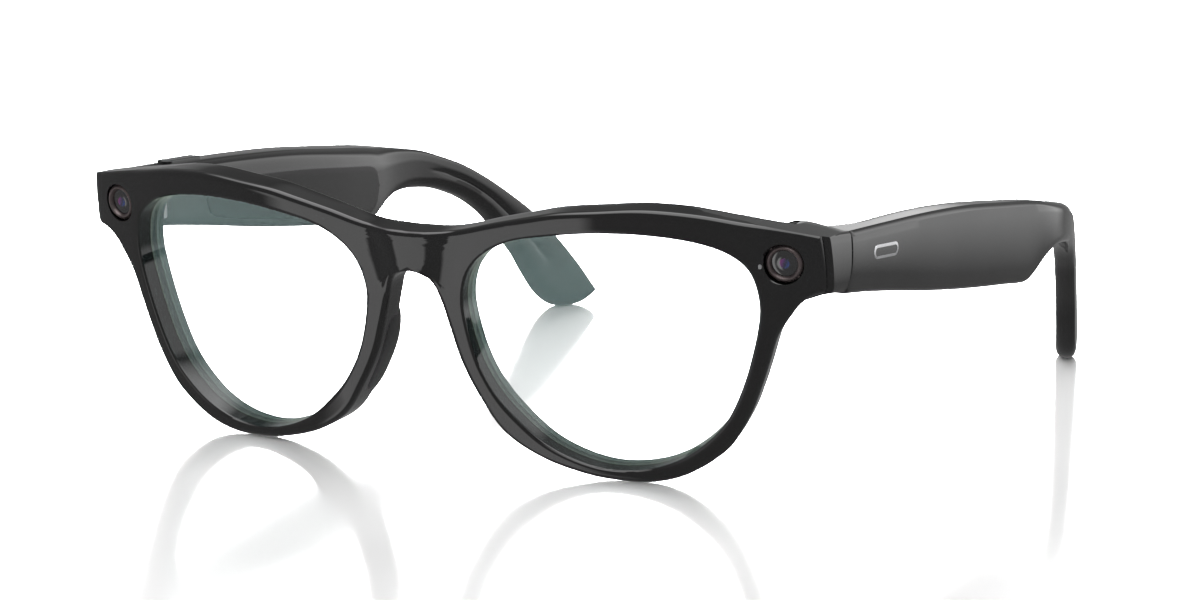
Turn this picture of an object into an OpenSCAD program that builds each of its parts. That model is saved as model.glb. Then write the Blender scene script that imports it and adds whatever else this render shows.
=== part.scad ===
// Smart glasses: a moulded front with two lenses and two camera modules, and
// two folding temples that hold the battery, the boards and the speakers.
// x runs across the face (+x is the wearer's left), y runs back to the ears,
// z is up. The origin is the middle of the footprint, on the table.

/* [Front] */
// Radius of the curve that the front follows across the face
face_r = 229; // [200:1:260]
// Forward lean of the front, in degrees
front_tilt = 8.18; // [7:0.1:9]
// Depth of the moulded rim, front to back
rim_depth = 6; // [5.8:0.1:6.4]
// Depth of the front edge of the lens groove behind the face
groove_front = 2.7; // [2.4:0.1:2.9]
// Width of the lens groove
groove_width = 1.5; // [1.4:0.1:1.7]
// Depth that the groove cuts into the rim
groove_bite = 0.8; // [0.6:0.1:1]
// Gap between a lens and its groove
lens_gap = 0.05; // [0.03:0.01:0.1]
// Drop of the lowest front edge below the face's datum
foot_drop = 0.43; // [0.43:0.01:0.55]
// Distance from the bridge's face back to the middle of the footprint
mid_depth = 69.75; // [69:0.05:72]

/* [End pieces and hinges] */
// Half width over the temples
half_width = 71.5; // [71:0.1:72]
// Distance of a hinge pin from the centre line
pin_x = 64.6; // [64.2:0.1:64.8]
// Distance of a hinge pin behind the bridge's face
pin_y = 15.6; // [15.4:0.1:16]
// Radius of a hinge pin
pin_r = 0.7; // [0.6:0.05:0.75]
// Running clearance of the pin in the temple's knuckle
pin_clearance = 0.03; // [0.02:0.01:0.08]
// Outer radius of a hinge knuckle
knuckle_r = 1.55; // [1.4:0.05:1.6]
// Height of one of the three knuckles
knuckle_h = 2.4; // [2.2:0.1:2.6]
// Gap between neighbouring knuckles
knuckle_gap = 0.08; // [0.05:0.01:0.12]
// Height of the hinge's middle
hinge_z = 37.4; // [37:0.1:37.8]
// Gap at the seam between an end piece and its temple
seam_gap = 0.2; // [0.15:0.05:0.3]

/* [Cameras] */
// Distance of a camera from the centre line, along the face
camera_u = 65.2; // [65:0.1:65.4]
// Height of a camera on the face
camera_v = 37.4; // [37:0.1:37.8]
// Angle by which a camera is turned back from the face towards straight ahead
camera_toe = 6; // [4:0.5:7]
// Outer radius of a camera's trim ring
bezel_r = 3.25; // [3:0.05:3.3]
// Radius of a camera's cover glass
window_r = 2.1; // [1.9:0.05:2.2]
// Radius of a camera's barrel
barrel_r = 2.6; // [2.4:0.05:2.7]

/* [Temples] */
// Wall of a temple's casing
wall = 1.2; // [1:0.1:1.3]
// Thickness of a temple past the bend behind the ear
tip_thickness = 3.7; // [3.5:0.1:4.5]
// Angle through which a temple bends inwards behind the body
bend_angle = 21.3; // [20.5:0.1:24]
// Radius of that bend, on the outer face
bend_r = 68; // [60:1:75]
// Distance behind the bridge's face at which the bend starts
bend_y = 88; // [87:0.5:90]
// Travel of the capture button
press_travel = 0.35; // [0.25:0.05:0.4]
// Travel of the power slider
slider_travel = 2; // [1.5:0.1:2.2]

/* [Hidden] */

$fn = 48;
fine = 360;
curve_steps = 5;

black = [0.03, 0.03, 0.035];
lens_tint = [0.8, 0.93, 0.93, 0.35];
steel = [0.62, 0.63, 0.65];
gunmetal = [0.3, 0.28, 0.29];
board_green = [0.05, 0.25, 0.16];
flex_amber = [0.55, 0.33, 0.08];

// Half of the front's outline, as arc length along the face and height on it
brow_points = [[0, 40.1], [8, 40.5], [16.2, 42.4], [22.7, 43.8], [28, 44.8],
    [35, 45.4], [41, 45.8], [46, 45.7], [52.4, 45.1], [59, 44], [64, 43.3],
    [70.9, 42]];
rim_points = [[71.2, 32.4], [69.3, 32], [67.5, 30.7], [65.7, 28.5], [63.6, 25.4],
    [62, 21], [60.5, 17], [58.3, 12], [55, 7], [51.5, 4.1], [47.9, 2], [44.4, 0.7],
    [40, 0], [34, 0.2], [29.3, 0.9], [22.2, 3], [15.7, 6.8], [11.3, 12.7],
    [8.2, 18.4], [6.4, 23.9], [5.1, 28.3], [4, 31.3], [2.3, 32.8], [0, 33.2]];
lens_points = [[9.4, 28.5], [10, 32], [11.4, 34.7], [13.9, 37.1], [17.5, 39],
    [22.1, 40.3], [32, 41.6], [40.5, 41.8], [47.2, 41.3], [52.2, 40.4],
    [56.1, 39], [58.9, 37], [60.2, 34.7], [60.9, 31], [60.6, 27.5], [58.9, 21.1],
    [56.5, 14.9], [53.5, 10], [48.1, 5.4], [42, 2.8], [35.1, 2], [29.1, 3],
    [23.2, 5.5], [18.6, 9.1], [14.8, 13], [11.8, 18], [10.1, 23.5]];
// Middle line of the flex channel in the brow
channel_points = [[0, 37.6], [6, 37.9], [11, 39.2], [16, 41], [22, 42.4],
    [32, 43.7], [42, 44], [50, 43.3], [57, 42], [60.5, 41]];
// Side of a nose pad that lies along the rim
pad_points = [[6.3, 24.2], [8.2, 18.4], [11.3, 12.7], [14.2, 8.6]];

// A temple seen from the side: distance back from the bridge's face, and height
temple_top = [[13.9, 42.3], [29, 41.9], [44, 41.4], [59, 40.5], [74, 39],
    [86, 37.7], [95, 36.3], [103, 34.9], [108, 33.4], [113.5, 31.3], [118, 28.9],
    [122.5, 26], [126.5, 23.1], [130.5, 19.9], [135.6, 14.8], [138.7, 11.6],
    [141.3, 8.7], [143.3, 6.2], [144.7, 4.2], [145.2, 2.7], [144.5, 1.4],
    [142.4, 0.4]];
temple_bottom = [[140, 0], [136.8, 0.1], [134.5, 1.3], [133, 2.7], [131.5, 4.7],
    [129.4, 8], [127, 11.9], [121.2, 18.9], [119, 21], [116, 23.3],
    [112.4, 25.2], [107.5, 26.9], [103, 27.6], [98.5, 28], [94, 27.8],
    [90, 26.8], [86, 25], [82.8, 24], [79.5, 24.1], [75, 24.6], [59, 26.3],
    [44, 28.2], [30, 30.3], [12.1, 32.8]];
seam_points = [[12.1, 32.8], [13.4, 35.6], [13.8, 38.5], [13.9, 42.3]];
// Inner face of a temple's body: distance from the centre line, distance back
inner_points = [[64.3, 8], [64.1, 24], [63.3, 42], [62.8, 60], [62.9, 76],
    [64.5, 88]];
core_points = [[92, 32.2], [100, 30.9], [108, 28.9], [116, 25.3], [124, 19.5],
    [132, 11], [137, 6.2]];

// Smooth curve through points: all but the ends when it is open
function blend4(a, b, c, d, t) = 0.5 * (2 * b + (c - a) * t
    + (2 * a - 5 * b + 4 * c - d) * t * t + (3 * b - a - 3 * c + d) * t * t * t);
function open_curve(p, steps = curve_steps) = let (last = len(p) - 1) concat(
    [for (i = [0:last - 1], k = [0:steps - 1])
        blend4(i == 0 ? 2 * p[0] - p[1] : p[i - 1], p[i], p[i + 1],
            i + 1 == last ? 2 * p[last] - p[last - 1] : p[i + 2], k / steps)],
    [p[last]]);
function closed_curve(p, steps = curve_steps) = let (n = len(p))
    [for (i = [0:n - 1], k = [0:steps - 1])
        blend4(p[(i + n - 1) % n], p[i], p[(i + 1) % n], p[(i + 2) % n],
            k / steps)];
function reversed(p) = [for (i = [len(p) - 1:-1:0]) p[i]];
function mirrored(p) = [for (q = reversed(p)) [-q[0], q[1]]];
function unit(v) = v / norm(v);
function side_of(p, i) = let (d = unit(p[min(i + 1, len(p) - 1)] - p[max(i - 1, 0)]))
    [-d[1], d[0]];
function band(p, w0, w1) = concat([for (i = [0:len(p) - 1]) p[i] + w0 * side_of(p, i)],
    reversed([for (i = [0:len(p) - 1]) p[i] + w1 * side_of(p, i)]));

// Arc length on the face to distance across it, seen square on or from a lens
function turn_at(u) = u / face_r * 180 / PI;
function across(p, turn = 0) = [for (q = p) [face_r * sin(turn_at(q[0]) - turn), q[1]]];

lens_turn = turn_at(35);
brow_curve = open_curve(brow_points);
rim_curve = open_curve(rim_points);
half_outline = concat(brow_curve, rim_curve);
front_outline = across(concat(half_outline, mirrored(half_outline)));
lens_outline = across(closed_curve(lens_points), lens_turn);
hinge_h = 3 * knuckle_h + 2 * knuckle_gap;
hinge_base = hinge_z - hinge_h / 2;
flap_x = [pin_x + 0.2, pin_x + knuckle_r];
contact_x = [-2.6, 0, 2.6];
contact_v = 37.2;

// ---------------------------------------------------------------- placing
// From distances behind the bridge's face to the part's own frame
module worn() translate([0, -mid_depth, 0]) children();

// From the front's upright frame (y is depth, z is height on it) to the part's
module front_place() worn() translate([0, 0, -foot_drop])
    rotate([front_tilt, 0, 0]) children();

// At a place on the face, with y pointing straight into the rim
module on_face(u, v = 0) translate([face_r * sin(turn_at(u)),
    face_r * (1 - cos(turn_at(u))), v]) rotate([0, 0, turn_at(u)]) children();

// At a camera, with y pointing back along it
module camera_place() on_face(camera_u, camera_v) rotate([0, 0, -camera_toe]) children();

// The wearer's right side is the left side mirrored
module on_side(side) if (side == "left") children(); else mirror([1, 0, 0]) children();

// An outline in x and z, made solid from y = from to y = to
module deep(from, to) translate([0, to, 0]) rotate([90, 0, 0])
    linear_extrude(to - from) children();

// A side view in y and z, made solid from x = from to x = to
module wide(from, to) translate([from, 0, 0]) rotate([90, 0, 90])
    linear_extrude(to - from) children();

// The part of space between two depths behind the curved face
module face_layer(from, to) translate([0, face_r, -10]) difference() {
    cylinder(r = face_r - from, h = 70, $fn = fine);
    translate([0, 0, -1]) cylinder(r = face_r - to, h = 72, $fn = fine);
}

// A bore along y
module bore_y(r, from, to) translate([0, from, 0]) rotate([-90, 0, 0])
    cylinder(r = r, h = to - from);

// ---------------------------------------------------------------- front
module seam_side(gap) polygon(concat([for (p = open_curve(seam_points)) p + [gap, 0]],
    [[40, 60], [40, 20], [seam_points[0][0] + gap, 20]]));

module end_piece() intersection() {
    translate([0, 0, 20]) linear_extrude(30) polygon([[60, 9], [62.4, 11.2], [62.4, 20],
        [half_width, 20], [half_width, 12.5], [half_width - 0.25, 9],
        [half_width - 0.9, 6.2], [half_width - 1.7, 4.8], [67, 4.8], [60, 6]]);
    difference() {
        wide(55, 75) polygon([[2, 32.6], [13, 32.9], [20, 33.2], [20, 46], [2, 46]]);
        wide(54, 76) seam_side(0);
    }
}

// The flat that takes the brow's height down to the temple's
module corner_flat() translate([half_width - 1.7, 0, 42.6]) rotate([0, 8.8, 0])
    translate([-30, -20, 0]) cube([50, 60, 12]);

module lens_cut() on_face(35) deep(-6, 16) polygon(lens_outline);

module lens_groove() intersection() {
    on_face(35) deep(-6, 16) offset(delta = groove_bite) polygon(lens_outline);
    face_layer(groove_front, groove_front + groove_width);
}

module pad_seat(grow) polygon(across(band(open_curve(pad_points), -0.8, 1.4 + grow)));

module front_cuts() {
    lens_cut();
    lens_groove();
    camera_place() {
        bore_y(bezel_r, -2, 1.2);
        bore_y(barrel_r, 0, 5.2);
    }
    intersection() {
        deep(0, 30) pad_seat(0);
        face_layer(3.2, 12);
    }
}

module hinge_front_cuts() {
    // Slot for the leaf's plate, and the way out for its two tongues
    translate([flap_x[0], 10, hinge_base]) cube([flap_x[1] - flap_x[0], 6, hinge_h]);
    for (z = [-2.2, 2.2]) translate([62, 11.6, hinge_z + z]) rotate([0, 90, 0]) {
        cylinder(r = 0.65, h = 6);
        translate([0, 0, -1]) cylinder(r = 1.15, h = 1.9);
    }
}

module channel(from, to, half) intersection() {
    deep(-2, 30) polygon(across(band(open_curve(channel_points), half, -half)));
    face_layer(from, to);
}

module both_channels(from, to, half) for (side = ["left", "right"]) on_side(side)
    channel(from, to, half);

module bridge_pocket(from, to, grow) intersection() {
    deep(-2, 30) translate([-4.2 - grow, 35 - grow])
        square([8.4 + 2 * grow, 4 + 2 * grow]);
    face_layer(from, to);
}

module status_bore(r, from, to) on_face(61.2, 37.1) bore_y(r, from, to);

module front_frame() color(black) difference() {
    union() {
        front_place() intersection() {
            deep(-3, 24) polygon(front_outline);
            face_layer(0, rim_depth);
        }
        for (side = ["left", "right"]) on_side(side) worn() end_piece();
    }
    for (side = ["left", "right"]) on_side(side) {
        front_place() front_cuts();
        worn() {
            corner_flat();
            hinge_front_cuts();
        }
    }
    front_place() {
        both_channels(3.6, 5.2, 0.7);
        both_channels(5.2, 10, 1.05);
        bridge_pocket(3.6, 5.2, 0);
        bridge_pocket(5.2, 10, 0.35);
        status_bore(0.4, -2, 4);
        translate([0, 4.2, 30]) cylinder(r = 0.35, h = 6);
    }
}

module brow_cover() color(black) front_place() difference() {
    union() {
        both_channels(5.2, rim_depth, 1);
        bridge_pocket(5.2, rim_depth, 0.3);
    }
    for (x = contact_x) translate([x, 0, contact_v]) bore_y(0.75, 4, 8);
}

module front_flex() color(flex_amber) front_place() {
    both_channels(4.3, 4.5, 0.55);
    bridge_pocket(4.3, 4.5, -0.2);
}

module charging_contacts() color("gold") front_place()
    for (x = contact_x) translate([x, 0, contact_v]) bore_y(0.7, 4.65, 6.05);

module bridge_microphone() color(steel) front_place()
    translate([-1.5, 3.7, 35.2]) cube([3, 0.5, 1]);

module lens(side) color(lens_tint) on_side(side) front_place() intersection() {
    on_face(35) deep(-6, 16) offset(delta = groove_bite - lens_gap) polygon(lens_outline);
    face_layer(groove_front + lens_gap, groove_front + groove_width - lens_gap);
}

module nose_pad(side) color(black) on_side(side) front_place() intersection() {
    deep(0, 30) polygon(across(band(open_curve(pad_points), 0.15, 1.35)));
    face_layer(3.25, 9);
}

module camera_bezel(side) color(gunmetal) on_side(side) front_place()
    camera_place() rotate([-90, 0, 0]) rotate_extrude()
    polygon([[window_r + 0.15, 0.45], [bezel_r - 0.75, 0.05], [bezel_r - 0.3, 0.05],
        [bezel_r - 0.05, 0.3], [bezel_r - 0.05, 1.15], [window_r + 0.15, 1.15]]);

module camera_window(side) color([0.05, 0.03, 0.08]) on_side(side) front_place()
    camera_place() bore_y(window_r, 0.5, 1.05);

module camera_barrel(side) color(black) on_side(side) front_place()
    camera_place() difference() {
        bore_y(barrel_r - 0.1, 1.2, 4.1);
        bore_y(0.75, 0, 3.4);
        bore_y(1.6, 0, 1.5);
    }

module image_sensor(side) color(board_green) on_side(side) front_place()
    camera_place() translate([-1.7, 4.15, -1.7]) cube([3.4, 0.9, 3.4]);

module status_light() color("white") front_place() status_bore(0.36, 0.15, 3.8);

// ---------------------------------------------------------------- hinges
// One knuckle of the three, counted from the bottom
module knuckle(i) translate([pin_x, pin_y, hinge_base + i * (knuckle_h + knuckle_gap)])
    cylinder(r = knuckle_r, h = knuckle_h);

// The flat that joins a knuckle to its leaf
module tongue(i, from, to) translate([flap_x[0] + 0.05, from,
    hinge_base + i * (knuckle_h + knuckle_gap)])
    cube([flap_x[1] - flap_x[0] - 0.1, to - from, knuckle_h]);

module pin_bore(r) translate([pin_x, pin_y, hinge_base - 2]) cylinder(r = r, h = hinge_h + 4);

module hinge_front_leaf(side) color(steel) on_side(side) worn() difference() {
    union() {
        for (i = [0, 2]) {
            knuckle(i);
            tongue(i, 10.1, pin_y);
        }
        translate([flap_x[0] + 0.05, 10.1, hinge_base + 0.05])
            cube([flap_x[1] - flap_x[0] - 0.1, 3, hinge_h - 0.1]);
    }
    pin_bore(pin_r);
    for (z = [-2.2, 2.2]) translate([62, 11.6, hinge_z + z]) rotate([0, 90, 0])
        cylinder(r = 0.65, h = 6);
}

module hinge_temple_leaf(side) color(steel) on_side(side) worn() difference() {
    union() {
        knuckle(1);
        tongue(1, pin_y, 19);
        translate([flap_x[0] + 0.05, 18, hinge_base]) cube([1.25, 7.5, hinge_h]);
    }
    pin_bore(pin_r + pin_clearance);
}

module hinge_pin(side) color("silver") on_side(side) worn()
    translate([pin_x, pin_y, hinge_base]) {
        cylinder(r = pin_r, h = hinge_h);
        translate([0, 0, hinge_h]) cylinder(r = 1.2, h = 0.5);
    }

module hinge_screws() color("silver") for (side = ["left", "right"], z = [-2.2, 2.2])
    on_side(side) worn() translate([61.9, 11.6, hinge_z + z]) rotate([0, 90, 0]) {
        translate([0, 0, 0.55]) cylinder(r = 1.05, h = 0.45);
        translate([0, 0, 1]) cylinder(r = 0.6, h = 4.6);
    }

// ---------------------------------------------------------------- temples
// Outer face from above, as distance back to distance from the centre line
bend_end = bend_y + bend_r * sin(bend_angle);
function bend_point(a) = [half_width - bend_r * (1 - cos(a)), bend_y + bend_r * sin(a)];
function tail_point(y) = bend_point(bend_angle) - [(y - bend_end) * tan(bend_angle), bend_end - y];
function outer_line(inset) = concat(
    [[half_width - inset, 8]],
    [for (k = [0:8]) let (a = bend_angle * k / 8)
        bend_point(a) - inset * [cos(a), sin(a)]],
    [tail_point(156) - inset * [cos(bend_angle), sin(bend_angle)]]);
function inner_line(inset) = concat(
    [for (p = open_curve(inner_points, 4)) p + [inset, 0]],
    [for (k = [4:8]) let (a = bend_angle * k / 8)
        bend_point(a) - (tip_thickness - inset) * [cos(a), sin(a)]],
    [tail_point(156) - (tip_thickness - inset) * [cos(bend_angle), sin(bend_angle)]]);

// The space between two lines seen from above
module between(outer, inner) translate([0, 0, -2]) linear_extrude(60)
    polygon(concat(outer, reversed(inner)));

module temple_side() difference() {
    polygon(concat(open_curve(temple_top), open_curve(temple_bottom, 3)));
    difference() {
        square([30, 60]);
        seam_side(seam_gap);
    }
}

// The hollow of the body, seen from the side
module hollow_side() intersection() {
    offset(delta = -wall) temple_side();
    translate([29, 0]) square([58, 60]);
}

module body_hollow() intersection() {
    between(outer_line(wall), inner_line(wall));
    wide(50, 75) hollow_side();
}

module cover_seat(grow, depth) intersection() {
    between(inner_line(depth), inner_line(-1));
    wide(50, 75) offset(delta = 0.6 + grow) hollow_side();
}

module hinge_temple_cuts() {
    // Room for the knuckles, and for the front leaf's tongues as it turns
    translate([pin_x, pin_y, hinge_base - 0.1]) cylinder(r = knuckle_r + 0.25, h = hinge_h + 0.8);
    translate([pin_x - 3, 10, hinge_base - 0.1]) cube([3 + knuckle_r + 0.25, pin_y - 10, hinge_h + 0.8]);
    // Slot for the temple leaf
    translate([flap_x[0], pin_y, hinge_base + knuckle_h]) cube([1.45, 3, knuckle_h + 0.2]);
    translate([flap_x[0], 17.95, hinge_base - 0.05]) cube([1.4, 7.65, hinge_h + 0.1]);
}

module core_shape(half, grow) intersection() {
    between(outer_line(tip_thickness / 2 - 0.6 - grow), outer_line(tip_thickness / 2 + 0.6 + grow));
    wide(30, 75) polygon(band(open_curve(core_points), half, -half));
}

module badge_outline(grow) offset(r = 1.2 + grow) translate([22.7, 37.6]) square([6.6, 0.02]);

module speaker_port(grow) translate([0, 87.2, 26.1]) rotate([24, 0, 0])
    translate([65.4 - grow, -2.4 - grow, -1.5]) cube([3 + 2 * grow, 4.8 + 2 * grow, 3]);

module temple_casing(side) difference() {
    intersection() {
        between(outer_line(0), inner_line(0));
        wide(30, 75) temple_side();
    }
    body_hollow();
    cover_seat(0, wall);
    hinge_temple_cuts();
    core_shape(1.3, 0.05);
    wide(half_width - 0.3, 75) badge_outline(0.03);
    speaker_port(0.03);
    translate([67.5, 24, 27]) cylinder(r = 0.35, h = 6);
}

// Where the button stands on the wearer's right temple
button_y = [22, 33];
button_x = [67, 70.2];
module button_outline(grow) offset(r = 1.2 + grow)
    translate([button_x[0] + 1.2, button_y[0] + 1.2])
    square([button_x[1] - button_x[0] - 2.4, button_y[1] - button_y[0] - 2.4]);

module temple_shell(side) color(black) on_side(side) worn() difference() {
    temple_casing(side);
    translate([66.6, 20.5, 32.9]) cube([3.6, 9, 6.5]);
    if (side == "right") {
        translate([0, 0, 38]) linear_extrude(8) button_outline(0.12);
        translate([0, 0, 38]) linear_extrude(2.4) button_outline(0.6);
    }
}

module temple_cover(side) color(black) on_side(side) worn() difference() {
    intersection() {
        cover_seat(-0.05, wall - 0.05);
        between(outer_line(0), inner_line(0));
    }
    if (side == "left") translate([60, 33, 33.9]) cube([6, 6, 2.2]);
    speaker_port(0.03);
}

module temple_core(side) color(steel) on_side(side) worn() core_shape(1.25, 0);

module temple_badge(side) color("silver") on_side(side) worn()
    wide(half_width - 0.3, half_width + 0.15) badge_outline(0);

module temple_flex(side) color(flex_amber) on_side(side) worn()
    translate([69.9, 35, 35.5]) rotate([-4, 0, 0]) cube([0.15, 40, 3.6]);

module speaker(side) color([0.12, 0.12, 0.13]) on_side(side) worn()
    translate([65.6, 76.5, 28]) rotate([-4, 0, 0]) cube([4.4, 9, 7]);

module speaker_grille(side) color(gunmetal) on_side(side) worn() intersection() {
    speaker_port(0);
    wide(50, 75) temple_side();
}

module microphone(side) color(steel) on_side(side) worn()
    translate([66.8, 22.3, 32.95]) cube([2.7, 3.5, 1]);

module battery() color("gray") worn() translate([64.6, 41, 31.2]) rotate([-6, 0, 0])
    cube([4.6, 34, 7.6]);

module power_switch() color(steel) worn() translate([65.35, 32.2, 33.2]) cube([1.5, 7.6, 3.4]);

module power_slider() color(gunmetal) worn() {
    translate([63, 33.2, 34]) cube([2, 3.6, 2]);
    translate([65, 32.9, 33.6]) cube([0.25, 4.2, 2.8]);
}

module main_board() color(board_green) worn() mirror([1, 0, 0])
    translate([66.2, 34.5, 31]) rotate([-6, 0, 0]) cube([0.8, 40, 8]);

module processor_shield() color(steel) worn() mirror([1, 0, 0])
    translate([67.05, 46, 30.1]) rotate([-6, 0, 0]) cube([1.8, 14, 6.4]);

module touch_sensor() color(flex_amber) worn() mirror([1, 0, 0])
    translate([half_width - wall - 0.2, 38, 31]) rotate([-6, 0, 0]) cube([0.15, 36, 6.5]);

module capture_switch() color(steel) worn() mirror([1, 0, 0])
    translate([66.6, 29.4, 36.4]) cube([3, 3.4, 1.6]);

module capture_button() color(black) worn() mirror([1, 0, 0]) {
    translate([0, 0, 39.4]) linear_extrude(3.2) button_outline(0);
    translate([0, 0, 38.6]) linear_extrude(0.8) button_outline(0.4);
}

front_frame();
brow_cover();
front_flex();
lens("left");  // lens_left
lens("right");  // lens_right
nose_pad("left");  // nose_pad_left
nose_pad("right");  // nose_pad_right
camera_bezel("left");  // camera_bezel_left
camera_bezel("right");  // camera_bezel_right
camera_window("left");  // camera_window_left
camera_window("right");  // camera_window_right
camera_barrel("left");  // camera_barrel_left
camera_barrel("right");  // camera_barrel_right
image_sensor("left");  // image_sensor_left
image_sensor("right");  // image_sensor_right
status_light();
charging_contacts();
bridge_microphone();
hinge_front_leaf("left");  // hinge_front_leaf_left
hinge_front_leaf("right");  // hinge_front_leaf_right
hinge_pin("left");  // hinge_pin_left
hinge_pin("right");  // hinge_pin_right
hinge_screws();
temple_shell("left");  // temple_shell_left
temple_cover("left");  // temple_cover_left
hinge_temple_leaf("left");  // hinge_temple_leaf_left
temple_core("left");  // temple_core_left
temple_flex("left");  // temple_flex_left
temple_badge("left");  // temple_badge_left
speaker("left");  // speaker_left
speaker_grille("left");  // speaker_grille_left
microphone("left");  // microphone_left
battery();
power_switch();
power_slider();
temple_shell("right");  // temple_shell_right
temple_cover("right");  // temple_cover_right
hinge_temple_leaf("right");  // hinge_temple_leaf_right
temple_core("right");  // temple_core_right
temple_flex("right");  // temple_flex_right
temple_badge("right");  // temple_badge_right
speaker("right");  // speaker_right
speaker_grille("right");  // speaker_grille_right
microphone("right");  // microphone_right
main_board();
processor_shield();
touch_sensor();
capture_switch();
capture_button();
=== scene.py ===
import math

import bpy
import numpy as np
from mathutils import Matrix, Vector


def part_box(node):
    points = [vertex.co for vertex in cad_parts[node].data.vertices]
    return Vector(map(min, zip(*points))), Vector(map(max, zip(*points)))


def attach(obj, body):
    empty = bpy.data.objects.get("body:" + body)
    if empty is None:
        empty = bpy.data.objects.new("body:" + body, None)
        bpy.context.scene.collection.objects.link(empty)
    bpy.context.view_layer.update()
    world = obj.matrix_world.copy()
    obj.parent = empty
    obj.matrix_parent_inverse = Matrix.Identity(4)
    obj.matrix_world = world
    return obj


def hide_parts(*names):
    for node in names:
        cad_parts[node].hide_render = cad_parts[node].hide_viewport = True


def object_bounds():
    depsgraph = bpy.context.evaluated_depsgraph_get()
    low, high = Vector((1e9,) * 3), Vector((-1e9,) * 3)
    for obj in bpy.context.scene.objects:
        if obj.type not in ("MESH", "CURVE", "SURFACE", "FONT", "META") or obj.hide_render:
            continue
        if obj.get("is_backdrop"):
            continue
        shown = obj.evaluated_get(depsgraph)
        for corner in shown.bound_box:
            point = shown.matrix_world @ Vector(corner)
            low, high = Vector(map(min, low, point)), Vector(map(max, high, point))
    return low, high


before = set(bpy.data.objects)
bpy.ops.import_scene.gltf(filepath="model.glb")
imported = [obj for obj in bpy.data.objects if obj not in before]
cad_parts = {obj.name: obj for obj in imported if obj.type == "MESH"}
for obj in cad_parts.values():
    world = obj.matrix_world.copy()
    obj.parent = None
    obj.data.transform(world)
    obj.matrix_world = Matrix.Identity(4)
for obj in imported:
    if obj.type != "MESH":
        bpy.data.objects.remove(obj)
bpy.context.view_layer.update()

# Smart glasses. Everything is worked out in millimetres, measured back from the
# bridge's face (y) and up from the table (z), and put into metres at the end.
MM = 0.001
MID_DEPTH = 69.75
FOOT_DROP = 0.43
FACE_R = 229.0
TILT = math.radians(8.18)
RIM_DEPTH = 6.0
HALF_WIDTH = 71.5
SEAM_GAP = 0.2

# Outline of one half of the front: arc length along the face, and height on it
BROW = [(0, 40.1), (8, 40.5), (16.2, 42.4), (22.7, 43.8), (28, 44.8), (35, 45.4), (41, 45.8), (46, 45.7),
        (52.4, 45.1), (59, 44), (64, 43.3), (71.8, 41.9)]
RIM = [(72, 32.5), (69.6, 32), (67.5, 30.7), (65.7, 28.5), (63.6, 25.4), (62, 21), (60.5, 17), (58.3, 12),
       (55, 7), (51.5, 4.1), (47.9, 2), (44.4, 0.7), (40, 0), (34, 0.2), (29.3, 0.9), (22.2, 3), (15.7, 6.8),
       (11.3, 12.7), (8.2, 18.4), (6.4, 23.9), (5.1, 28.3), (4, 31.3), (2.3, 32.8), (0, 33.2)]
OPENING = [(9.4, 28.5), (10, 32), (11.4, 34.7), (13.9, 37.1), (17.5, 39), (22.1, 40.3), (32, 41.6),
           (40.5, 41.8), (47.2, 41.3), (52.2, 40.4), (56.1, 39), (58.9, 37), (60.2, 34.7), (60.9, 31), (60.6, 27.5),
           (58.9, 21.1), (56.5, 14.9), (53.5, 10), (48.1, 5.4), (42, 2.8), (35.1, 2), (29.1, 3), (23.2, 5.5),
           (18.6, 9.1), (14.8, 13), (11.8, 18), (10.1, 23.5)]
LENS_MIDDLE = np.array([35.0, 22.0])
PAD = [(6.3, 24.2), (8.2, 18.4), (11.3, 12.7), (14.2, 8.6)]

# A temple from the side: distance back and height of its two edges
TOP_EDGE = [(13.9, 42.3), (29, 41.9), (44, 41.4), (59, 40.5), (74, 39), (86, 37.7), (95, 36.3), (103, 34.9),
            (108, 33.4), (113.5, 31.3), (118, 28.9), (122.5, 26), (126.5, 23.1), (130.5, 19.9), (135.6, 14.8),
            (138.7, 11.6), (141.3, 8.7), (143.3, 6.2), (144.7, 4.2), (145.2, 2.7)]
BOTTOM_EDGE = [(12.1, 32.8), (30, 30.3), (44, 28.2), (59, 26.3), (75, 24.6), (79.5, 24.1), (82.8, 24), (86, 25),
               (90, 26.8), (94, 27.8), (98.5, 28), (103, 27.6), (107.5, 26.9), (112.4, 25.2), (116, 23.3),
               (119, 21), (121.2, 18.9), (127, 11.9), (129.4, 8), (131.5, 4.7), (133, 2.7), (134.5, 1.3),
               (136.8, 0.1), (140, 0), (142.4, 0.4), (144.5, 1.4), (145.2, 2.7)]
SEAM = [(12.1, 32.8), (13.4, 35.6), (13.8, 38.5), (13.9, 42.3)]
BEND_Y = 88.0
BEND_R = 68.0
BEND_ANGLE = math.radians(21.3)
TIP_THICKNESS = 3.7
SIDES = {"left": 1, "right": -1}


# ------------------------------------------------------------------ curves
def through(points, steps=24, closed=False):
    """A smooth curve through points, as many short chords."""
    p = np.array(points, float)
    if closed:
        p = np.vstack([p[-1:], p, p[:2]])
    else:
        p = np.vstack([2 * p[0] - p[1], p, 2 * p[-1] - p[-2]])
    out = []
    for a, b, c, d in zip(p, p[1:], p[2:], p[3:]):
        for k in range(steps):
            t = k / steps
            out.append(0.5 * (2 * b + (c - a) * t + (2 * a - 5 * b + 4 * c - d) * t * t
                              + (3 * b - a - 3 * c + d) * t ** 3))
    if not closed:
        out.append(p[-2])
    return np.array(out)


def run_length(p):
    return np.concatenate([[0], np.cumsum(np.linalg.norm(np.diff(p, axis=0), axis=1))])


def respaced(p, spacing, count=None):
    s = run_length(p)
    n = count or max(2, int(round(s[-1] / spacing)))
    at = np.linspace(0, s[-1], n + 1)
    return np.column_stack([np.interp(at, s, p[:, i]) for i in range(p.shape[1])])


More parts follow.
